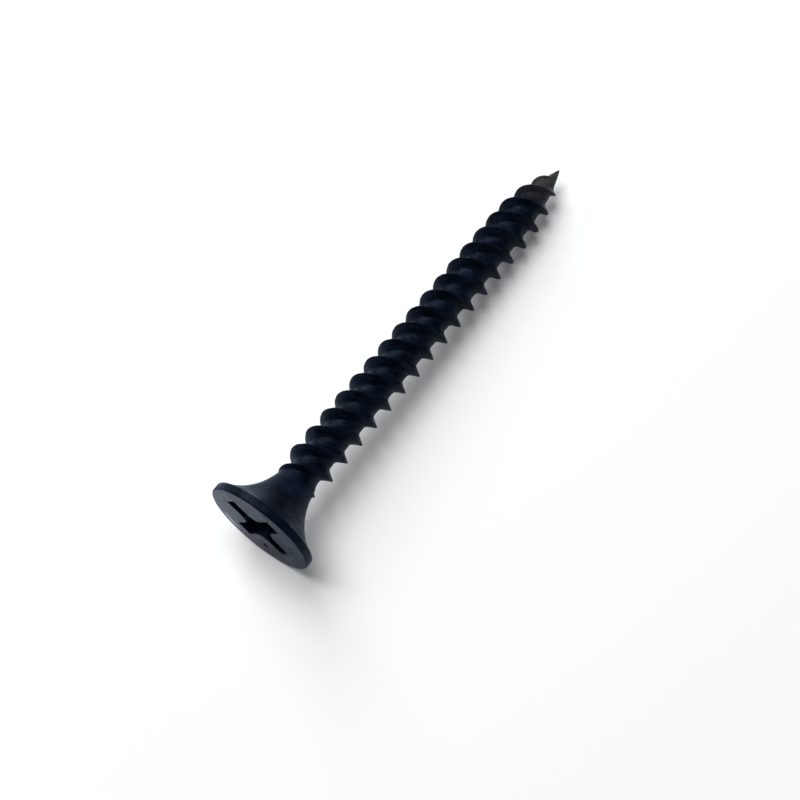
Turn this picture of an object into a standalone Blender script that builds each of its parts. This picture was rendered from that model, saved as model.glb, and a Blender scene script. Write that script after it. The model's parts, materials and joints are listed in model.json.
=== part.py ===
"""Drywall screw, 3.5 x 35 mm: bugle head, cross recess, twin-start thread and sharp point.

The screw is one forged and rolled piece of steel with a black phosphate finish. It is modelled
upright, with the middle of its drive face at the origin and its point straight below, and is
then laid down as it comes to rest, on its rim and on a thread crest near its point.

Lengths are in metres and angles in radians. A depth is measured along the axis from the drive
face towards the point, and a radius from the axis.
"""

import math

import bmesh
import bpy
from mathutils import Vector

MM = 0.001
NAME = "drywall_screw"

# Head
LENGTH = 35.0 * MM
HEAD_DIAMETER = 8.0 * MM
RIM_WIDTH = 0.6 * MM
RIM_FRONT_ROUNDING = 0.12 * MM
RIM_BACK_ROUNDING = 0.1 * MM
FLARE_RADIUS = 4.6 * MM
NECK_DIAMETER = 2.6 * MM
NECK_END = 4.1 * MM

# Cross recess, size 2
RECESS_SPAN = 5.1 * MM
RECESS_CORE_DIAMETER = 2.2 * MM
RECESS_DEPTH = 2.4 * MM
WING_WIDTH = 1.1 * MM
WING_SIDE_DRAFT = math.radians(4)
WING_END_SLOPE = math.radians(26.5)
RECESS_CORE_DRAFT = math.radians(8)
RECESS_POINT_DEPTH = 0.3 * MM
CUTTER_CLEARANCE = 0.2 * MM

# Thread
THREAD_DIAMETER = 3.5 * MM
ROOT_DIAMETER = 2.18 * MM
THREAD_STARTS = 2
LEAD = 3.236 * MM
THREAD_ANGLE = math.radians(60)
THREAD_TOP = 3.33 * MM
THREAD_TOP_ANGLE = math.radians(95)
THREAD_TOP_HEIGHT = 0.25 * MM
RUN_OUT = 1.8 * MM
ROOT_START = 4.9 * MM
ROOT_FILLET_HEIGHT = 0.12 * MM
ROOT_FILLET_ANGLE = math.radians(60)
THREAD_SINK = 0.2 * MM

# Point
POINT_ANGLE = math.radians(38)
POINT_ROUNDING = 0.08 * MM
CONE_DIAMETER = 1.2 * MM
ROOT_TAPER_LENGTH = 5.2 * MM
CREST_TAPER_LENGTH = 6.0 * MM
CREST_TAPER_RADIUS = 11.7 * MM
BARE_POINT = 0.9 * MM
THREAD_FADE = 0.6 * MM

# Fineness of the round surfaces
STEPS = 32
FLARE_SEGMENTS = 9
ROUNDING_SEGMENTS = 2
TAPER_SEGMENTS = 5
RECESS_CORNER_SEGMENTS = 4
SHARP_ANGLE = math.radians(35)

# How the screw lies: the turn about its own axis, brought to the middle of a facet
REST_ROLL = math.radians(50)

# Black phosphate
FINISH_COLOUR = (0.0123, 0.0159, 0.0212, 1.0)
FINISH_ROUGHNESS = 0.5
FINISH_METALLIC = 0.2

STEP_ANGLE = math.tau / STEPS
HEAD_RADIUS = HEAD_DIAMETER / 2
NECK_RADIUS = NECK_DIAMETER / 2
ROOT_RADIUS = ROOT_DIAMETER / 2
CREST_RADIUS = THREAD_DIAMETER / 2
CONE_RADIUS = CONE_DIAMETER / 2
MERGE_DISTANCE = 0.001 * MM


def clear_scene():
    for obj in list(bpy.data.objects):
        bpy.data.objects.remove(obj, do_unlink=True)


def new_collection(name):
    collection = bpy.data.collections.new(name)
    bpy.context.scene.collection.children.link(collection)
    return collection


def new_object(name, bm, collection):
    mesh = bpy.data.meshes.new(name)
    bm.to_mesh(mesh)
    bm.free()
    obj = bpy.data.objects.new(name, mesh)
    collection.objects.link(obj)
    return obj


def phosphate():
    material = bpy.data.materials.new("black_phosphate")
    material.use_nodes = True
    shader = material.node_tree.nodes["Principled BSDF"]
    shader.inputs["Base Color"].default_value = FINISH_COLOUR
    shader.inputs["Roughness"].default_value = FINISH_ROUGHNESS
    shader.inputs["Metallic"].default_value = FINISH_METALLIC
    material.diffuse_color = FINISH_COLOUR
    return material


def middle_of_facet(turn):
    """Moves a turn to the middle of the facet that it falls on."""
    return (math.floor(turn / STEP_ANGLE) + 0.5) * STEP_ANGLE


def arc(centre_radius, centre_depth, size, first, last, segments):
    """Points (radius, depth) of an arc, from one angle to another."""
    points = []
    for i in range(segments + 1):
        angle = first + (last - first) * i / segments
        radius = centre_radius + size * math.cos(angle)
        depth = centre_depth + size * math.sin(angle)
        points.append((radius, depth))
    return points


def rim_outline():
    """From the edge of the flat face, over the rim, to where the flare starts."""
    front = arc(
        HEAD_RADIUS - RIM_FRONT_ROUNDING,
        RIM_FRONT_ROUNDING,
        RIM_FRONT_ROUNDING,
        -math.pi / 2,
        0,
        ROUNDING_SEGMENTS,
    )
    back = arc(
        HEAD_RADIUS - RIM_BACK_ROUNDING,
        RIM_WIDTH - RIM_BACK_ROUNDING,
        RIM_BACK_ROUNDING,
        0,
        math.pi / 2,
        ROUNDING_SEGMENTS,
    )
    return front + back


def flare_outline():
    """The hollow curve under the head, which runs into the neck without a corner."""
    drop = HEAD_RADIUS - RIM_BACK_ROUNDING - NECK_RADIUS
    steepest = math.acos(1 - drop / FLARE_RADIUS)
    neck_depth = RIM_WIDTH + FLARE_RADIUS * math.sin(steepest)
    reach = max(0, min(1, (neck_depth - NECK_END) / FLARE_RADIUS))
    curve = arc(
        NECK_RADIUS + FLARE_RADIUS,
        neck_depth,
        FLARE_RADIUS,
        math.pi + steepest,
        math.pi + math.asin(reach),
        FLARE_SEGMENTS,
    )
    return curve[1:]


def point_outline():
    """From the end of the root, down its long taper and the cone, to the finely rounded end."""
    half = POINT_ANGLE / 2
    apex_depth = LENGTH + POINT_ROUNDING / math.sin(half) - POINT_ROUNDING
    cone_depth = apex_depth - CONE_RADIUS / math.tan(half)
    drop = ROOT_RADIUS - CONE_RADIUS
    taper_radius = (ROOT_TAPER_LENGTH**2 + drop**2) / (2 * drop)
    taper = arc(
        ROOT_RADIUS - taper_radius,
        cone_depth - ROOT_TAPER_LENGTH,
        taper_radius,
        0,
        math.asin(ROOT_TAPER_LENGTH / taper_radius),
        TAPER_SEGMENTS,
    )
    end = arc(0, LENGTH - POINT_ROUNDING, POINT_ROUNDING, half, math.pi / 2, ROUNDING_SEGMENTS)
    return taper + end[:-1] + [(0, LENGTH)]


def core_outline():
    """The turned shape without the thread: face, rim, flare, neck, root and point."""
    outline = [(0, 0)] + rim_outline() + flare_outline()
    if outline[-1][1] < NECK_END:
        outline.append((NECK_RADIUS, NECK_END))
    return outline + [(ROOT_RADIUS, ROOT_START)] + point_outline()


def core_radius(outline, depth):
    """The radius of the turned shape at a depth below the rim."""
    for (upper, top), (lower, bottom) in zip(outline, outline[1:]):
        if top >= RIM_WIDTH and top <= depth <= bottom:
            return upper + (lower - upper) * (depth - top) / (bottom - top)
    return 0


def crest_radius(outline, depth):
    """The thread's outer radius: it runs out under the head, tapers and fades on the point."""
    top_radius = ROOT_RADIUS + THREAD_TOP_HEIGHT
    run_out = min(1, (depth - THREAD_TOP) / RUN_OUT)
    along = min(CREST_TAPER_RADIUS, max(0, depth - LENGTH + CREST_TAPER_LENGTH))
    taper = CREST_TAPER_RADIUS - math.sqrt(CREST_TAPER_RADIUS**2 - along**2)
    crest = top_radius + (CREST_RADIUS - top_radius) * run_out - taper
    fade = max(0, min(1, (LENGTH - BARE_POINT - depth) / THREAD_FADE))
    faded = core_radius(outline, depth) - THREAD_SINK / 2
    return faded + (crest - faded) * fade * fade * (3 - 2 * fade)


def turned_core(collection):
    """The outline as a chain of edges at +X, swept round by a Screw modifier."""
    bm = bmesh.new()
    points = [bm.verts.new((radius, 0, -depth)) for radius, depth in core_outline()]
    for first, second in zip(points, points[1:]):
        bm.edges.new((first, second))
    core = new_object(NAME, bm, collection)
    screw = core.modifiers.new("Turn", "SCREW")
    screw.steps = STEPS
    screw.render_steps = STEPS
    screw.use_merge_vertices = True
    screw.merge_threshold = MERGE_DISTANCE
    return core


def thread_section(foot, crest):
    """Corners (radius, distance below the crest) of the ridge. It sinks below its foot."""
    slope = math.tan(THREAD_ANGLE / 2)
    base = foot - THREAD_SINK
    full_height = CREST_RADIUS - ROOT_RADIUS + THREAD_SINK
    bend = base + (crest - base) * (ROOT_FILLET_HEIGHT + THREAD_SINK) / full_height
    bend_down = (bend - crest) * slope
    base_down = bend_down - (bend - base) * math.tan(ROOT_FILLET_ANGLE)
    return (base, base_down), (bend, bend_down), (crest, 0), (base, (crest - base) * slope)


def thread_ridge(name, first_angle, collection):
    """One start of the thread: a section with a fillet on its upper side, wound to the point.

    Its sections cross the middles of the core's facets, so that no edges of the two coincide.
    """
    outline = core_outline()
    rise = LEAD / STEPS
    count = int((LENGTH - BARE_POINT - THREAD_TOP) / rise)
    bm = bmesh.new()
    sections = []
    for i in range(count + 1):
        depth = THREAD_TOP + i * rise
        angle = first_angle - i * STEP_ANGLE
        crest = crest_radius(outline, depth)
        foot = min(ROOT_RADIUS, core_radius(outline, depth))
        section = []
        for radius, down in thread_section(foot, crest):
            place = (radius * math.cos(angle), radius * math.sin(angle), -depth - down)
            section.append(bm.verts.new(place))
        sections.append(section)
    for above, below in zip(sections, sections[1:]):
        for i in range(len(above)):
            j = (i + 1) % len(above)
            bm.faces.new((above[i], above[j], below[j], below[i]))
    bm.faces.new(sections[0])
    bm.faces.new(sections[-1])
    bmesh.ops.recalc_face_normals(bm, faces=bm.faces)
    bmesh.ops.triangulate(bm, faces=bm.faces)
    return new_object(name, bm, collection)


def cross_section(bm, depth):
    """The recess at one depth: four wings, whose sides run into each other on round lobes.

    The core's diameter is measured between opposite lobes.
    """
    reach = RECESS_SPAN / 2 - depth * math.tan(WING_END_SLOPE)
    half_width = WING_WIDTH / 2 - depth * math.tan(WING_SIDE_DRAFT)
    core = RECESS_CORE_DIAMETER / 2 - depth * math.tan(RECESS_CORE_DRAFT)
    lobe = (core - math.sqrt(2) * half_width) / (math.sqrt(2) - 1)
    points = []
    for quarter in range(4):
        turn = quarter * math.pi / 2
        along = Vector((math.cos(turn), math.sin(turn)))
        across = Vector((-along.y, along.x))
        points.append(along * reach - across * half_width)
        points.append(along * reach + across * half_width)
        middle = (along + across) * (half_width + lobe)
        for i in range(RECESS_CORNER_SEGMENTS + 1):
            angle = math.pi / 2 * i / RECESS_CORNER_SEGMENTS
            inward = along * math.sin(angle) + across * math.cos(angle)
            points.append(middle - inward * lobe)
    return [bm.verts.new((point.x, point.y, -depth)) for point in points]


def recess_cutter(collection):
    """The shape of the driver bit's end: drafted wings and core with a shallow point."""
    bm = bmesh.new()
    top = cross_section(bm, -CUTTER_CLEARANCE)
    bottom = cross_section(bm, RECESS_DEPTH)
    end = bm.verts.new((0, 0, -RECESS_DEPTH - RECESS_POINT_DEPTH))
    for i in range(len(top)):
        j = (i + 1) % len(top)
        bm.faces.new((top[i], bottom[i], bottom[j], top[j]))
        bm.faces.new((bottom[i], end, bottom[j]))
    bm.faces.new(top)
    bmesh.ops.recalc_face_normals(bm, faces=bm.faces)
    return new_object("recess_cutter", bm, collection)


def combine(obj, tool, operation):
    modifier = obj.modifiers.new(tool.name, "BOOLEAN")
    modifier.operation = operation
    modifier.solver = "EXACT"
    modifier.object = tool
    tool.hide_render = True
    tool.display_type = "WIRE"
    tool.parent = obj


def apply_modifiers(obj):
    evaluated = obj.evaluated_get(bpy.context.evaluated_depsgraph_get())
    mesh = bpy.data.meshes.new_from_object(evaluated)
    obj.modifiers.clear()
    obj.data = mesh
    mesh.name = obj.name
    mesh.shade_smooth()
    mesh.set_sharp_from_angle(angle=SHARP_ANGLE)


def lay_down(obj):
    """Tips the screw over its rim until a thread crest touches, and puts it on the floor."""
    roll = middle_of_facet(REST_ROLL)
    side = [
        (-point.co.z, point.co.y * math.sin(roll) - point.co.x * math.cos(roll))
        for point in obj.data.vertices
    ]
    lowest = max(drop for _, drop in side)
    heel_depth = max(depth for depth, drop in side if drop > lowest - MERGE_DISTANCE)
    tilt = min(
        math.atan2(lowest - drop, depth - heel_depth)
        for depth, drop in side
        if depth > heel_depth + MERGE_DISTANCE
    )
    obj.rotation_mode = "ZYX"
    obj.rotation_euler = (0, tilt - math.pi / 2, roll)
    bpy.context.view_layer.update()
    placed = [obj.matrix_world @ point.co for point in obj.data.vertices]
    low = [min(point[axis] for point in placed) for axis in range(3)]
    high = [max(point[axis] for point in placed) for axis in range(3)]
    obj.location = (-(low[0] + high[0]) / 2, -(low[1] + high[1]) / 2, -low[2])
    bpy.context.view_layer.update()


def main():
    clear_scene()
    parts = new_collection(NAME)
    tools = new_collection(NAME + "_tools")
    screw = turned_core(parts)
    for start in range(THREAD_STARTS):
        turn = THREAD_TOP_ANGLE + start * math.tau / THREAD_STARTS
        angle = middle_of_facet(turn)
        combine(screw, thread_ridge(f"thread_{start + 1}", angle, tools), "UNION")
    combine(screw, recess_cutter(tools), "DIFFERENCE")
    apply_modifiers(screw)
    screw.data.materials.append(phosphate())
    lay_down(screw)


main()
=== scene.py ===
"""Looks of a 3.5 x 35 mm drywall screw: black phosphated steel, lying on a white floor.

The screw is one piece of steel. It is made upright, with the middle of its drive face at the
origin and its point straight below, and is then laid down where the solid lies. Lengths are in
metres and angles in radians. A depth is measured along the screw from its drive face.
"""

import json
import math

import bmesh
import bpy
from mathutils import Matrix, Vector, noise


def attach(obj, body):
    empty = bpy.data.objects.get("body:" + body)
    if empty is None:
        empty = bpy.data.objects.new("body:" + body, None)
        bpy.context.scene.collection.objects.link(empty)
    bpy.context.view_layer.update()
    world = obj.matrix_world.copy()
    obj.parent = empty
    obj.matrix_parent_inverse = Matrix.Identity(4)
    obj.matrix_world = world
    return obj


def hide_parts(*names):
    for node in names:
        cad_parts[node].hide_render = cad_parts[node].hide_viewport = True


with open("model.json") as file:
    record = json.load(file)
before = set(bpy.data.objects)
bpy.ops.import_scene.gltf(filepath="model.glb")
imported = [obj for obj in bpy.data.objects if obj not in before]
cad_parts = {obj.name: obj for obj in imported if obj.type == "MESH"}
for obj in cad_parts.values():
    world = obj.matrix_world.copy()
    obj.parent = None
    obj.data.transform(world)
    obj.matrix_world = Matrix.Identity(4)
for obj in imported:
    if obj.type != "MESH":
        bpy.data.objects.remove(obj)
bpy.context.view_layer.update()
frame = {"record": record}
bpy.ops.object.select_all(action="DESELECT")

MM = 0.001
LENGTH = 35.0 * MM
# The round surface stays inside the flat sides of the solid
SOLID_SIDES = 32
INSIDE = math.cos(math.pi / SOLID_SIDES)

# Head, forged a little off the wire's axis. Its hollow flare runs into the neck, and the neck
# into the root of the thread
HEAD_RADIUS = 3.925 * MM
HEAD_SHIFT = Vector((-0.065, 0, 0)) * MM
RIM_WIDTH = 0.6 * MM
RIM_FRONT_ROUNDING = 0.12 * MM
RIM_BACK_ROUNDING = 0.1 * MM
FACE_RADIUS = HEAD_RADIUS - RIM_FRONT_ROUNDING
FLARE_RADIUS = 4.6 * MM
NECK_RADIUS = 1.3 * MM
NECK_END = 4.1 * MM
ROOT_START = 4.9 * MM

# Cross recess, size 2. Its core is measured to the round lobes between its wings
RECESS_SPAN = 5.1 * MM
RECESS_SHIFT = Vector((0.08, -0.12, 0)) * MM
RECESS_CORE_RADIUS = 1.1 * MM
RECESS_CORE_DRAFT = math.radians(8)
RECESS_DEPTH = 2.4 * MM
RECESS_POINT_DEPTH = 0.3 * MM
WING_WIDTH = 1.1 * MM
WING_SIDE_DRAFT = math.radians(4)
WING_END_SLOPE = math.radians(26.5)
WING_CORNER_ROUNDING = 0.06 * MM
MOUTH_ROUNDING = 0.04 * MM
TOOL_CLEARANCE = 0.2 * MM

# A nick in the drive face, from tumbling: half its length and width, and its depth
NICK_PLACE = Vector((-1.64, 1.78, 0)) * MM
NICK_SIZE = Vector((0.28, 0.19, 0.26)) * MM
NICK_TURN = math.radians(-17)
NICK_UNEVENNESS = 0.5

# Painted sheen and paling, from 0 where the coat shows to 1 where pale steel is painted in. A short
# line inside the edge of the drive face is a painted highlight, the face is painted paler towards
# one side as a painted reflection, and the point is paler
PAINTED_HIGHLIGHT_ANGLE = math.radians(73)
PAINTED_HIGHLIGHT_HALF_SPREAD = math.radians(18)
FACE_PAINTED_REFLECTION = 0.25
FACE_PAINTED_REFLECTION_ANGLE = math.radians(39)
POINT_PALING = 0.06
POINT_PALING_LENGTH = 4.5 * MM
POINT_PALING_FADE = 3.0 * MM

# Thread, rolled with two starts. One of them begins at the top's depth, angle and height, and
# the crests rise from there to their full radius over the run-out
CREST_RADIUS = 1.75 * MM * INSIDE
ROOT_RADIUS = 1.09 * MM
STARTS = 2
LEAD = 3.236 * MM
PITCH = LEAD / STARTS
THREAD_ANGLE = math.radians(60)
CREST_WIDTH = 0.1 * MM
ROOT_FILLET = 0.12 * MM
ROOT_HOLLOW = 0.03 * MM
THREAD_TOP = 3.33 * MM
THREAD_TOP_ANGLE = math.radians(95.625)
THREAD_TOP_HEIGHT = 0.25 * MM
RUN_OUT = 1.8 * MM

# Marks of the rolling: shallow lumps along the roots, small dents in the crests, and a stretch
# near the point where the crests came out lower
LUMP_DEPTH = 0.014 * MM
LUMP_LENGTH = 1.1 * MM
LUMP_WIDTH = 0.4 * MM
CREST_DENT = 0.045 * MM
CREST_DENT_LENGTH = 0.5 * MM
LOW_CREST_PLACE = LENGTH - 4.3 * MM
LOW_CREST_LENGTH = 0.8 * MM
LOW_CREST_DROP = 0.07 * MM
# How far a crest runs round the screw for each unit that it goes down, about
CREST_RUN = math.pi

# Point
POINT_ANGLE = math.radians(38)
POINT_ROUNDING = 0.08 * MM
CONE_RADIUS = 0.6 * MM
ROOT_TAPER_LENGTH = 5.2 * MM
CREST_TAPER_LENGTH = 6.0 * MM
CREST_TAPER_RADIUS = 11.7 * MM
BARE_POINT = 0.9 * MM
THREAD_FADE = 0.6 * MM

# Fineness of the mesh. The crest's lines are millimetres down from a crest, and are mirrored up
# from the next one. The face's rings are in from its edge, and the middle one carries the
# painted highlight
TURN_STEPS = 160
CREST_LINES = (0, 0.015, 0.03, 0.06, 0.1, 0.16, 0.23, 0.3, 0.37, 0.44, 0.53, 0.66)
FACE_RINGS = (0.28 * MM, 0.5 * MM, 0.72 * MM)
FLARE_RINGS = 26
ROUNDING_RINGS = 5
CONE_RINGS = 4
LOBE_SEGMENTS = 8
WING_CORNER_SEGMENTS = 4
MOUTH_SEGMENTS = 3
NICK_FINENESS = 3
SMOOTH_ANGLE = math.radians(42)
WELD = 0.0005 * MM
# A face whose normal rises less than this is a wall of the recess
WALL_RISE = 0.7

# Where the wound shank is cut level, above its thread and near its point
NECK_CUT = 2.9 * MM
POINT_CUT = LENGTH - 0.5 * MM

# How the screw lies, and how far above the middle of the drive face the solid's mount is
REST_ROLL = math.radians(50.625)
FACE_MOUNT_RADIUS = 3.2 * MM


def linear(code):
    """An sRGB hex colour as linear red, green, blue and full alpha."""
    channels = [int(code[i : i + 2], 16) / 255 for i in (1, 3, 5)]
    lit = [c / 12.92 if c <= 0.04045 else ((c + 0.055) / 1.055) ** 2.4 for c in channels]
    return (*lit, 1.0)


def add_node(tree, kind, settings, inputs):
    """Adds a node with its settings. An input is a value, or the output that it is linked to."""
    node = tree.nodes.new(kind)
    for name, value in settings.items():
        setattr(node, name, value)
    for name, value in inputs.items():
        if isinstance(value, bpy.types.NodeSocket):
            tree.links.new(value, node.inputs[name])
        else:
            node.inputs[name].default_value = value
    return node


def smooth_step(share):
    """Runs from 0 to 1 without a corner at either end."""
    share = max(0, min(1, share))
    return share * share * (3 - 2 * share)


def neck_outline_depth():
    """The depth at which the flare has become the neck."""
    drop = HEAD_RADIUS - RIM_BACK_ROUNDING - NECK_RADIUS
    steepest = math.acos(1 - drop / FLARE_RADIUS)
    return RIM_WIDTH + FLARE_RADIUS * math.sin(steepest)


def flare_radius(depth):
    """The hollow curve under the head, as a radius at a depth."""
    up = min(FLARE_RADIUS, max(0, neck_outline_depth() - depth))
    return NECK_RADIUS + FLARE_RADIUS - math.sqrt(FLARE_RADIUS**2 - up**2)


def cone_apex():
    """The depth at which the cone of the point would end without its rounding."""
    return LENGTH + POINT_ROUNDING / math.sin(POINT_ANGLE / 2) - POINT_ROUNDING


def core_radius(depth):
    """The screw without its thread, below the rim: flare, neck, root, taper and cone."""
    slope = math.tan(POINT_ANGLE / 2)
    cone_start = cone_apex() - CONE_RADIUS / slope
    drop = ROOT_RADIUS - CONE_RADIUS
    taper_radius = (ROOT_TAPER_LENGTH**2 + drop**2) / (2 * drop)
    along = depth - cone_start + ROOT_TAPER_LENGTH
    if depth < NECK_END:
        return flare_radius(depth)
    if depth < ROOT_START:
        share = (depth - NECK_END) / (ROOT_START - NECK_END)
        return NECK_RADIUS + (ROOT_RADIUS - NECK_RADIUS) * smooth_step(share)
    if along < 0:
        return ROOT_RADIUS
    if depth < cone_start:
        return ROOT_RADIUS - taper_radius + math.sqrt(taper_radius**2 - along**2)
    return max(POINT_ROUNDING, (cone_apex() - depth) * slope)


def crest_radius(depth):
    """The thread's outer radius: it rises under the head, tapers and fades on the point."""
    top_radius = ROOT_RADIUS + THREAD_TOP_HEIGHT
    risen = min(1, (depth - THREAD_TOP) / RUN_OUT)
    along = max(0, depth - LENGTH + CREST_TAPER_LENGTH)
    taper = CREST_TAPER_RADIUS - math.sqrt(CREST_TAPER_RADIUS**2 - along**2)
    taper += LOW_CREST_DROP * math.exp(-(((depth - LOW_CREST_PLACE) / LOW_CREST_LENGTH) ** 2))
    crest = top_radius + (CREST_RADIUS - top_radius) * risen - taper
    faded = core_radius(depth) - ROOT_FILLET
    return faded + (crest - faded) * smooth_step((LENGTH - BARE_POINT - depth) / THREAD_FADE)


def crest_depth(angle):
    """The depth of the crest that passes an angle at the top of the thread."""
    return THREAD_TOP + (THREAD_TOP_ANGLE - angle) * LEAD / math.tau


def rolled_place(angle, depth):
    """Where a point is on the rolled surface: along its groove, down from the crest, its start."""
    first = crest_depth(angle)
    turn = math.floor((depth - first) / PITCH)
    crest = first + turn * PITCH
    along = crest * math.tau * ROOT_RADIUS / LEAD
    return Vector((along, depth - crest, turn % STARTS * LEAD))


def surface_radius(angle, depth):
    """The radius of the threaded surface at an angle round the screw and a depth."""
    first = crest_depth(angle)
    crest = first + round((depth - first) / PITCH) * PITCH
    core = core_radius(depth)
    if crest < THREAD_TOP:
        return core
    along, across, start = rolled_place(angle, depth)
    top = crest_radius(crest)
    height = max(0, min(1, (top - core) / (CREST_RADIUS - ROOT_RADIUS)))
    dent = noise.noise(Vector((crest / CREST_DENT_LENGTH * CREST_RUN, start / MM, 0)))
    top -= CREST_DENT * height * max(0, dent)
    off = max(0, math.hypot(depth - crest, CREST_WIDTH / 2) - CREST_WIDTH / 2)
    ridge = top - off / math.tan(THREAD_ANGLE / 2)
    middle = 0.5 - 0.5 * math.cos(math.tau * (depth - crest) / PITCH)
    lump = noise.noise(Vector((along / LUMP_LENGTH, across / LUMP_WIDTH, start / MM)))
    core -= height * (ROOT_HOLLOW * middle + LUMP_DEPTH * (1 + lump) / 2)
    fillet = ROOT_FILLET * height
    return (core + ridge + math.hypot(core - ridge, fillet)) / 2


def edit(obj):
    """Makes an object the active one and opens it in edit mode."""
    bpy.context.view_layer.objects.active = obj
    obj.select_set(True)
    bpy.ops.object.mode_set(mode="EDIT")


def leave_edit():
    """Closes edit mode."""
    bpy.ops.object.mode_set(mode="OBJECT")


def shape(obj, place):
    """Moves each vertex of an object in edit mode to place(its coordinates)."""
    mesh = bmesh.from_edit_mesh(obj.data)
    for vertex in mesh.verts:
        vertex.co = place(vertex.co)
    bmesh.update_edit_mesh(obj.data)


def pick(obj, kind, wanted):
    """Selects the vertices, edges or faces of an object in edit mode for which wanted() is true."""
    bpy.ops.mesh.select_all(action="DESELECT")
    bpy.ops.mesh.select_mode(type=kind)
    mesh = bmesh.from_edit_mesh(obj.data)
    for item in {"VERT": mesh.verts, "EDGE": mesh.edges, "FACE": mesh.faces}[kind]:
        if wanted(item):
            item.select_set(True)
    mesh.select_flush_mode()
    bmesh.update_edit_mesh(obj.data)


def grow(radius, depth, wider, deeper):
    """Extrudes the selected level ring to another radius and depth."""
    drop = (0, 0, depth - deeper)
    bpy.ops.mesh.extrude_edges_move(TRANSFORM_OT_translate={"value": drop})
    share = wider / radius
    bpy.ops.transform.resize(value=(share, share, 1), center_override=(0, 0, 0))
    return wider, deeper


def cut_level(depth, side):
    """Cuts off what is above (1) or below (-1) a depth, and leaves the cut's ring selected."""
    bpy.ops.mesh.select_all(action="SELECT")
    bpy.ops.mesh.bisect(
        plane_co=(0, 0, -depth),
        plane_no=(0, 0, side),
        clear_outer=True,
        threshold=WELD,
    )


def wound_shank():
    """One lead of the thread, with its two crests, wound down the shank by a Screw modifier."""
    after = [line * MM for line in CREST_LINES]
    lines = after + [PITCH - line for line in reversed(after[1:])]
    lowest = crest_depth(0) + math.ceil((POINT_CUT - crest_depth(0)) / PITCH) * PITCH
    depths = [lowest + start * PITCH + line for start in range(STARTS) for line in lines]
    depths.append(lowest + LEAD)
    bpy.ops.mesh.primitive_plane_add(size=MM, location=(CREST_RADIUS, 0, -depths[0]))
    shank = bpy.context.object
    bpy.ops.object.transform_apply(location=True)
    edit(shank)
    bpy.ops.mesh.merge(type="CENTER")
    for above, below in zip(depths, depths[1:]):
        bpy.ops.mesh.extrude_vertices_move(TRANSFORM_OT_translate={"value": (0, 0, above - below)})
    leave_edit()
    wind = shank.modifiers.new("Wind", "SCREW")
    wind.steps = TURN_STEPS
    wind.render_steps = TURN_STEPS
    wind.iterations = math.ceil((lowest + LEAD - NECK_CUT) / LEAD)
    wind.screw_offset = LEAD
    wind.use_merge_vertices = True
    wind.merge_threshold = WELD
    bpy.ops.object.modifier_apply(modifier=wind.name)
    return shank


def roll_thread(shank):
    """Gives the wound band the thread's section, and cuts it level near the point."""
    edit(shank)
    bpy.ops.mesh.select_all(action="SELECT")
    bpy.ops.mesh.remove_doubles(threshold=WELD)

    def on_surface(place):
        angle = math.atan2(place.y, place.x)
        radius = surface_radius(angle, -place.z)
        return Vector((radius * math.cos(angle), radius * math.sin(angle), place.z))

    shape(shank, on_surface)
    cut_level(POINT_CUT, -1)


def draw_point(shank):
    """Draws the cut end down the cone to the point, which has a tiny rounding."""
    half = POINT_ANGLE / 2
    ball_depth = LENGTH - POINT_ROUNDING
    ball_start = ball_depth + POINT_ROUNDING * math.sin(half)
    radius, depth = core_radius(POINT_CUT), POINT_CUT
    for i in range(1, CONE_RINGS):
        deeper = POINT_CUT + (ball_start - POINT_CUT) * i / CONE_RINGS
        radius, depth = grow(radius, depth, (cone_apex() - deeper) * math.tan(half), deeper)
    for i in range(ROUNDING_RINGS):
        turn = half + (math.pi / 2 - half) * i / ROUNDING_RINGS
        deeper = ball_depth + POINT_ROUNDING * math.sin(turn)
        radius, depth = grow(radius, depth, POINT_ROUNDING * math.cos(turn), deeper)
    bpy.ops.mesh.extrude_edges_move(TRANSFORM_OT_translate={"value": (0, 0, depth - LENGTH)})
    bpy.ops.mesh.merge(type="CENTER")


def forge_head(shank):
    """Cuts the neck level, draws it out through the flare and over the rim, and closes the face."""
    cut_level(NECK_CUT, 1)
    radius, depth = flare_radius(NECK_CUT), NECK_CUT
    for i in range(1, FLARE_RINGS + 1):
        higher = NECK_CUT + (RIM_WIDTH - NECK_CUT) * i / FLARE_RINGS
        radius, depth = grow(radius, depth, flare_radius(higher), higher)
    quarter = math.pi / 2 / ROUNDING_RINGS
    for i in range(1, ROUNDING_RINGS + 1):
        wider = HEAD_RADIUS - RIM_BACK_ROUNDING * (1 - math.sin(i * quarter))
        higher = RIM_WIDTH - RIM_BACK_ROUNDING * (1 - math.cos(i * quarter))
        radius, depth = grow(radius, depth, wider, higher)
    for i in range(ROUNDING_RINGS + 1):
        wider = HEAD_RADIUS - RIM_FRONT_ROUNDING * (1 - math.cos(i * quarter))
        higher = RIM_FRONT_ROUNDING * (1 - math.sin(i * quarter))
        radius, depth = grow(radius, depth, wider, higher)
    for inward in FACE_RINGS:
        radius, depth = grow(radius, depth, FACE_RADIUS - inward, depth)
    bpy.ops.mesh.edge_face_add()
    bpy.ops.mesh.select_all(action="SELECT")
    bpy.ops.mesh.normals_make_consistent(inside=False)
    shape(shank, lambda place: place + HEAD_SHIFT * smooth_step(1 + place.z / NECK_END))
    leave_edit()


def wing_reach(depth):
    """How far the wings of the recess reach from its middle at a depth."""
    return RECESS_SPAN / 2 - depth * math.tan(WING_END_SLOPE)


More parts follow.
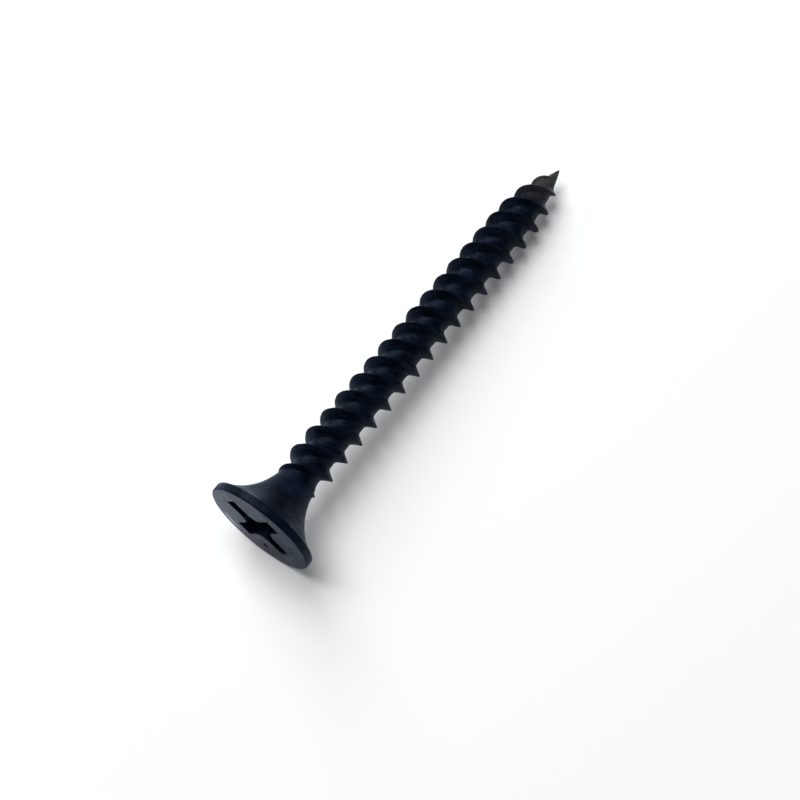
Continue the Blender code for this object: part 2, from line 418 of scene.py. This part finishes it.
def recess_outline(depth):
    """The recess at one depth: four wings, whose sides run into each other on round lobes."""
    half_width = WING_WIDTH / 2 - depth * math.tan(WING_SIDE_DRAFT)
    core = RECESS_CORE_RADIUS - depth * math.tan(RECESS_CORE_DRAFT)
    lobe = (core - math.sqrt(2) * half_width) / (math.sqrt(2) - 1)
    points = []
    for quarter in range(4):
        turn = Matrix.Rotation(quarter * math.pi / 2, 3, "Z")
        points.append(turn @ Vector((wing_reach(depth), -half_width, -depth)))
        points.append(turn @ Vector((wing_reach(depth), half_width, -depth)))
        for i in range(LOBE_SEGMENTS + 1):
            angle = math.pi / 2 * i / LOBE_SEGMENTS
            x = half_width + lobe * (1 - math.sin(angle))
            y = half_width + lobe * (1 - math.cos(angle))
            points.append(turn @ Vector((x, y, -depth)))
    return points


def recess_tool():
    """The punch that forms the recess: drafted wings and core with a shallow point."""
    top = recess_outline(-TOOL_CLEARANCE)
    bottom = recess_outline(RECESS_DEPTH)
    bpy.ops.mesh.primitive_circle_add(vertices=len(top), radius=RECESS_SPAN / 2, fill_type="NGON")
    tool = bpy.context.object
    edit(tool)
    mesh = bmesh.from_edit_mesh(tool.data)
    for vertex, place in zip(mesh.verts, top):
        vertex.co = place
    bpy.ops.mesh.select_all(action="SELECT")
    bpy.ops.mesh.extrude_region_move(TRANSFORM_OT_translate={"value": (0, 0, -RECESS_DEPTH)})
    mesh = bmesh.from_edit_mesh(tool.data)
    lower = [vertex for vertex in mesh.verts if vertex.select]
    for vertex in lower:
        above = min(range(len(top)), key=lambda i: (vertex.co.xy - top[i].xy).length)
        vertex.co = bottom[above]
    bmesh.update_edit_mesh(tool.data)
    bpy.ops.mesh.poke()
    mesh = bmesh.from_edit_mesh(tool.data)
    centre = min(mesh.verts, key=lambda vertex: vertex.co.xy.length)
    centre.co = Vector((0, 0, -RECESS_DEPTH - RECESS_POINT_DEPTH))
    bmesh.update_edit_mesh(tool.data)

    def wing_corner(edge):
        ends = [vertex.co for vertex in edge.verts]
        upright = abs(ends[0].z - ends[1].z) > RECESS_DEPTH
        return upright and all(max(map(abs, end.xy)) > wing_reach(-end.z) - WELD for end in ends)

    pick(tool, "EDGE", wing_corner)
    bpy.ops.mesh.bevel(offset=WING_CORNER_ROUNDING, segments=WING_CORNER_SEGMENTS, affect="EDGES")
    bpy.ops.mesh.select_all(action="SELECT")
    bpy.ops.mesh.normals_make_consistent(inside=False)
    shape(tool, lambda place: place + RECESS_SHIFT)
    leave_edit()
    return tool


def nick_tool():
    """The shape of the nick: an uneven egg, half of it above the drive face."""
    bpy.ops.mesh.primitive_ico_sphere_add(
        subdivisions=NICK_FINENESS,
        radius=1,
        location=NICK_PLACE,
    )
    tool = bpy.context.object
    tool.scale = NICK_SIZE
    tool.rotation_euler.z = NICK_TURN
    bpy.ops.object.transform_apply(location=True, rotation=True, scale=True)
    edit(tool)

    def dented(place):
        out = 1 + NICK_UNEVENNESS * noise.noise(place / NICK_SIZE.y)
        return NICK_PLACE + (place - NICK_PLACE) * out

    shape(tool, dented)
    leave_edit()
    return tool


def cut(obj, tool):
    """Cuts the tool's shape out of an object, and removes the tool."""
    modifier = obj.modifiers.new("Cut", "BOOLEAN")
    modifier.operation = "DIFFERENCE"
    modifier.solver = "EXACT"
    modifier.object = tool
    bpy.context.view_layer.objects.active = obj
    bpy.ops.object.modifier_apply(modifier=modifier.name)
    bpy.data.objects.remove(tool)
    edit(obj)
    bpy.ops.mesh.select_all(action="SELECT")
    bpy.ops.mesh.remove_doubles(threshold=WELD)
    leave_edit()


def soften_mouth(screw):
    """Rounds the edge where the recess meets the drive face."""
    reach = RECESS_SPAN / 2 + WING_WIDTH
    edit(screw)

    def mouth(edge):
        ends = [vertex.co for vertex in edge.verts]
        level = all(abs(end.z) < WELD for end in ends)
        near = all((end - RECESS_SHIFT).length < reach for end in ends)
        walls = [face for face in edge.link_faces if abs(face.normal.z) < WALL_RISE]
        return level and near and len(walls) == 1

    pick(screw, "EDGE", mouth)
    bpy.ops.mesh.bevel(
        offset=MOUTH_ROUNDING,
        segments=MOUTH_SEGMENTS,
        affect="EDGES",
        clamp_overlap=True,
    )
    leave_edit()


def streak_place(place):
    """Where a point of the upright screw is in the pattern of streaks."""
    if -place.z < NECK_END:
        return place / HEAD_STREAK_SIZE
    return rolled_place(math.atan2(place.y, place.x), -place.z)


def sheen_and_paling_at(place):
    """How far a point is painted pale steel: painted sheen on the drive face, a paler point."""
    depth = -place.z
    # Off the drive face, only the point is paler, more so towards its end
    if abs(depth) >= WELD:
        return POINT_PALING * smooth_step((depth - LENGTH + POINT_PALING_LENGTH) / POINT_PALING_FADE)
    # The drive face is painted paler towards one side, a painted reflection of the floor
    side = place.x * math.cos(FACE_PAINTED_REFLECTION_ANGLE) + place.y * math.sin(FACE_PAINTED_REFLECTION_ANGLE)
    paleness = FACE_PAINTED_REFLECTION * ((1 + side / HEAD_RADIUS) / 2) ** 2
    # A short painted highlight on the ring inside the face's edge, drawn as pale steel
    outer_ring, highlight_inset = FACE_RINGS[:2]
    from_line = abs((place - HEAD_SHIFT).xy.length - (FACE_RADIUS - highlight_inset))
    if from_line < outer_ring / 2:
        angle = math.atan2(place.y, place.x)
        paleness = max(paleness, 1 - ((angle - PAINTED_HIGHLIGHT_ANGLE) / PAINTED_HIGHLIGHT_HALF_SPREAD) ** 2)
    return paleness


def mark_surface(screw):
    """Keeps in the mesh where its points are in the streaks, and how far they are painted pale."""
    rolled, sheen_and_paling = [], []
    for vertex in screw.data.vertices:
        rolled.extend(streak_place(vertex.co))
        sheen_and_paling.append(sheen_and_paling_at(vertex.co))
    mesh = screw.data
    mesh.attributes.new("rolled", "FLOAT_VECTOR", "POINT").data.foreach_set("vector", rolled)
    mesh.attributes.new("sheen_and_paling", "FLOAT", "POINT").data.foreach_set("value", sheen_and_paling)


def lay_down(screw):
    """Turns the upright screw to where the solid's drive face is, and keeps that in its mesh."""
    mount = frame["record"]["mounts"][0]
    outward = Vector(mount["axis"]).normalized()
    upward = Vector((outward.z, 0, -outward.x))
    middle = Vector(mount["pos_m"]) - upward * FACE_MOUNT_RADIUS
    upright = Matrix((upward, outward.cross(upward), outward)).transposed().to_4x4()
    screw.matrix_world = Matrix.Translation(middle) @ upright @ Matrix.Rotation(REST_ROLL, 4, "Z")
    screw.select_set(True)
    bpy.context.view_layer.objects.active = screw
    bpy.ops.object.transform_apply(location=True, rotation=True, scale=True)


def smooth(screw):
    """Shades the round surfaces smooth, and lets the flat ones keep their own normals."""
    bpy.ops.object.shade_smooth_by_angle(angle=SMOOTH_ANGLE)
    weigh = screw.modifiers.new("Weigh", "WEIGHTED_NORMAL")
    weigh.keep_sharp = True
    bpy.ops.object.modifier_apply(modifier=weigh.name)


# A porous coat has hardly any gloss from above, and still shows the floor at a low angle
COAT_IOR = 1.16
COAT_SHEEN = "#c8e0f8"
COAT_DARK = "#010309"
COAT_PALE = "#141d2d"
# Pale steel, painted in as a highlight and a reflection on the drive face, and on the paler point
SHEEN_STEEL = "#c8b9a8"

# Sizes of the coat's patterns. The crystals are a few hundredths of a millimetre wide, and their
# grain is drawn coarser, as it needs to show. A streak's sizes are in millimetres, along its
# groove, across it and from one start of the thread to the other. On the head, which isn't
# rolled, the same pattern is drawn larger, as a faint forging texture
GRAIN_SIZE = 0.13 * MM
MOTTLE_SIZE = 0.9 * MM
STREAK_SIZES = (0.8, 0.14, 0.5)
HEAD_STREAK_SIZE = 5
RELIEF_DEPTH = 0.04 * MM
RELIEF_STRENGTH = 0.8

# The value of the multiplied patterns where the coat is darkest and palest, and where it is
# roughest and smoothest, with its roughness there
DARKEST = 0.07
PALEST = 0.21
ROUGHEST = 0.06
SMOOTHEST = 0.24
HIGHEST_ROUGHNESS = 0.5
LOWEST_ROUGHNESS = 0.26
# The value of the painted paleness multiplied by the grain from which the steel colour is full
FULL_PALENESS_FROM = 0.4


def black_phosphate():
    """Black phosphate on carbon steel, dipped after rolling and left dry.

    Its crystals make the surface matt and slightly blue, with a speckle and a soft grey sheen.
    The rolling leaves faint streaks along the thread, which the coat follows. Pale steel is
    painted in as a highlight inside the edge of the drive face, as a painted reflection on one
    side of the face, and on the paler point. The steel's colour is written a little warm, because
    the blue tint of the sheen cools it.
    """
    material = bpy.data.materials.new("black_phosphate")
    material.use_nodes = True
    tree = material.node_tree
    shader = tree.nodes["Principled BSDF"]
    place = add_node(tree, "ShaderNodeTexCoord", {}, {}).outputs["Object"]
    mottle = add_node(
        tree,
        "ShaderNodeTexNoise",
        {},
        {"Vector": place, "Scale": 1 / MOTTLE_SIZE, "Detail": 3.0, "Roughness": 0.6},
    )
    grain = add_node(
        tree,
        "ShaderNodeTexNoise",
        {},
        {"Vector": place, "Scale": 1 / GRAIN_SIZE, "Detail": 3.0, "Roughness": 0.65},
    )
    rolled = add_node(tree, "ShaderNodeAttribute", {"attribute_name": "rolled"}, {})
    stretched = add_node(
        tree,
        "ShaderNodeMapping",
        {},
        {"Vector": rolled.outputs["Vector"], "Scale": [1 / size for size in STREAK_SIZES]},
    )
    streak = add_node(
        tree,
        "ShaderNodeTexNoise",
        {},
        {"Vector": stretched.outputs["Vector"], "Scale": 1 / MM, "Detail": 2.0, "Roughness": 0.5},
    )
    rolled_grain = add_node(
        tree,
        "ShaderNodeMath",
        {"operation": "MULTIPLY"},
        {0: streak.outputs["Fac"], 1: grain.outputs["Fac"]},
    )
    coat = add_node(
        tree,
        "ShaderNodeMath",
        {"operation": "MULTIPLY"},
        {0: rolled_grain.outputs[0], 1: mottle.outputs["Fac"]},
    )
    tone = add_node(tree, "ShaderNodeValToRGB", {}, {"Fac": coat.outputs[0]})
    tone.color_ramp.elements[0].position = DARKEST
    tone.color_ramp.elements[0].color = linear(COAT_DARK)
    tone.color_ramp.elements[1].position = PALEST
    tone.color_ramp.elements[1].color = linear(COAT_PALE)
    # Pale steel is mixed in for the painted highlight and reflection on the drive face, and the
    # paler point
    paleness = add_node(tree, "ShaderNodeAttribute", {"attribute_name": "sheen_and_paling"}, {})
    paleness_grain = add_node(
        tree,
        "ShaderNodeMath",
        {"operation": "MULTIPLY"},
        {0: paleness.outputs["Fac"], 1: grain.outputs["Fac"]},
    )
    pale_steel_mix = add_node(
        tree,
        "ShaderNodeMapRange",
        {},
        {"Value": paleness_grain.outputs[0], "From Max": FULL_PALENESS_FROM},
    )
    colour = add_node(
        tree,
        "ShaderNodeMix",
        {"data_type": "RGBA"},
        {"Factor": pale_steel_mix.outputs["Result"], "A": tone.outputs["Color"], "B": linear(SHEEN_STEEL)},
    )
    tree.links.new(colour.outputs[2], shader.inputs["Base Color"])
    tree.links.new(pale_steel_mix.outputs["Result"], shader.inputs["Metallic"])
    rough = add_node(
        tree,
        "ShaderNodeMapRange",
        {},
        {
            "Value": coat.outputs[0],
            "From Min": ROUGHEST,
            "From Max": SMOOTHEST,
            "To Min": HIGHEST_ROUGHNESS,
            "To Max": LOWEST_ROUGHNESS,
        },
    )
    tree.links.new(rough.outputs["Result"], shader.inputs["Roughness"])
    relief = add_node(
        tree,
        "ShaderNodeBump",
        {},
        {
            "Height": rolled_grain.outputs[0],
            "Strength": RELIEF_STRENGTH,
            "Distance": RELIEF_DEPTH,
        },
    )
    tree.links.new(relief.outputs["Normal"], shader.inputs["Normal"])
    shader.inputs["IOR"].default_value = COAT_IOR
    shader.inputs["Specular Tint"].default_value = linear(COAT_SHEEN)
    return material


def make_screw():
    """Makes the whole screw, and says what it stands for."""
    screw = wound_shank()
    roll_thread(screw)
    draw_point(screw)
    forge_head(screw)
    cut(screw, recess_tool())
    soften_mouth(screw)
    cut(screw, nick_tool())
    mark_surface(screw)
    screw.name = "phosphated_screw"
    screw.data.name = screw.name
    screw.data.materials.append(black_phosphate())
    lay_down(screw)
    smooth(screw)
    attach(screw, "root")
    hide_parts("drywall_screw")


# Floor. Round the screw its own colour shows the shadow, and farther off it shines white. The
# coat reflects it a little cooler than it is
WHITE = (1, 1, 1, 1)
FLOOR_SIZE = 0.8
FLOOR_COLOUR = "#f2f2f0"
FLOOR_REFLECTION = "#dcecff"
FLOOR_ROUGHNESS = 0.9
NEAR_GLOW = 0.09
FAR_GLOW = 1.0
GLOW_START = 30 * MM
GLOW_END = 150 * MM


def white_floor():
    """A sheet of white board. It looks white wherever the screw doesn't shade it."""
    bpy.ops.mesh.primitive_grid_add(x_subdivisions=4, y_subdivisions=4, size=FLOOR_SIZE)
    floor = bpy.context.object
    floor.name = "white_floor"
    material = bpy.data.materials.new("white_board")
    material.use_nodes = True
    tree = material.node_tree
    shader = tree.nodes["Principled BSDF"]
    shader.inputs["Roughness"].default_value = FLOOR_ROUGHNESS
    rays = add_node(tree, "ShaderNodeLightPath", {}, {})
    board = add_node(
        tree,
        "ShaderNodeMix",
        {"data_type": "RGBA"},
        {
            "Factor": rays.outputs["Is Glossy Ray"],
            "A": linear(FLOOR_COLOUR),
            "B": linear(FLOOR_REFLECTION),
        },
    )
    tree.links.new(board.outputs[2], shader.inputs["Base Color"])
    seen = add_node(
        tree,
        "ShaderNodeMath",
        {"operation": "MAXIMUM"},
        {0: rays.outputs["Is Camera Ray"], 1: rays.outputs["Is Glossy Ray"]},
    )
    place = add_node(tree, "ShaderNodeTexCoord", {}, {}).outputs["Object"]
    away = add_node(tree, "ShaderNodeVectorMath", {"operation": "LENGTH"}, {0: place})
    shine = add_node(
        tree,
        "ShaderNodeMapRange",
        {"interpolation_type": "SMOOTHSTEP"},
        {
            "Value": away.outputs["Value"],
            "From Min": GLOW_START,
            "From Max": GLOW_END,
            "To Min": NEAR_GLOW,
            "To Max": FAR_GLOW,
        },
    )
    glow = add_node(
        tree,
        "ShaderNodeMath",
        {"operation": "MULTIPLY"},
        {0: seen.outputs[0], 1: shine.outputs["Result"]},
    )
    shader.inputs["Emission Color"].default_value = WHITE
    tree.links.new(glow.outputs[0], shader.inputs["Emission Strength"])
    floor.data.materials.append(material)


# Light: the room's faint light, and the place, size and power of each lamp, aimed at the screw
WORLD_COLOUR = "#d3dae4"
WORLD_LIGHT = 0.12
LAMP_COLOUR = "#fafcff"
LAMPS = {
    "softbox": (Vector((0.02, 0.10, 0.33)), 0.24, 1.16),
    "window": (Vector((0.11, 0.225, 0.18)), 0.15, 0.36),
}


def light():
    """Lights the screw from a white room, which looks plain white behind the floor."""
    world = bpy.data.worlds.new("white_room")
    bpy.context.scene.world = world
    world.use_nodes = True
    tree = world.node_tree
    tree.nodes.clear()
    rays = add_node(tree, "ShaderNodeLightPath", {}, {})
    room = add_node(
        tree,
        "ShaderNodeBackground",
        {},
        {"Color": linear(WORLD_COLOUR), "Strength": WORLD_LIGHT},
    )
    backdrop = add_node(tree, "ShaderNodeBackground", {}, {"Color": WHITE, "Strength": 1.0})
    mix = add_node(
        tree,
        "ShaderNodeMixShader",
        {},
        {"Fac": rays.outputs["Is Camera Ray"], 1: room.outputs[0], 2: backdrop.outputs[0]},
    )
    add_node(tree, "ShaderNodeOutputWorld", {}, {"Surface": mix.outputs[0]})
    for name, (place, size, power) in LAMPS.items():
        lamp = bpy.data.lights.new(name, "AREA")
        lamp.size = size
        lamp.energy = power
        lamp.color = linear(LAMP_COLOUR)[:3]
        holder = bpy.data.objects.new(name, lamp)
        bpy.context.collection.objects.link(holder)
        holder.location = place
        holder.rotation_euler = (-place).to_track_quat("-Z", "Y").to_euler()


# Camera
CAMERA_PLACE = Vector((-32.475, -35.558, 87.700)) * MM
CAMERA_AIM = Vector((-4.816, -2.265, 4.0)) * MM
CAMERA_ROLL = math.radians(-15.737)
CAMERA_LENS = 63.79
CAMERA_CLIP_START = 1 * MM


def camera():
    """Looks at the screw from above its head, as the photograph does."""
    view = bpy.data.cameras.new("camera")
    view.lens = CAMERA_LENS
    view.clip_start = CAMERA_CLIP_START
    holder = bpy.data.objects.new("camera", view)
    bpy.context.collection.objects.link(holder)
    holder.location = CAMERA_PLACE
    towards = (CAMERA_AIM - CAMERA_PLACE).to_track_quat("-Z", "Y").to_matrix()
    holder.rotation_euler = (towards @ Matrix.Rotation(CAMERA_ROLL, 3, "Z")).to_euler()
    bpy.context.scene.camera = holder


make_screw()
white_floor()
light()
camera()
bpy.context.scene.view_settings.view_transform = "Standard"
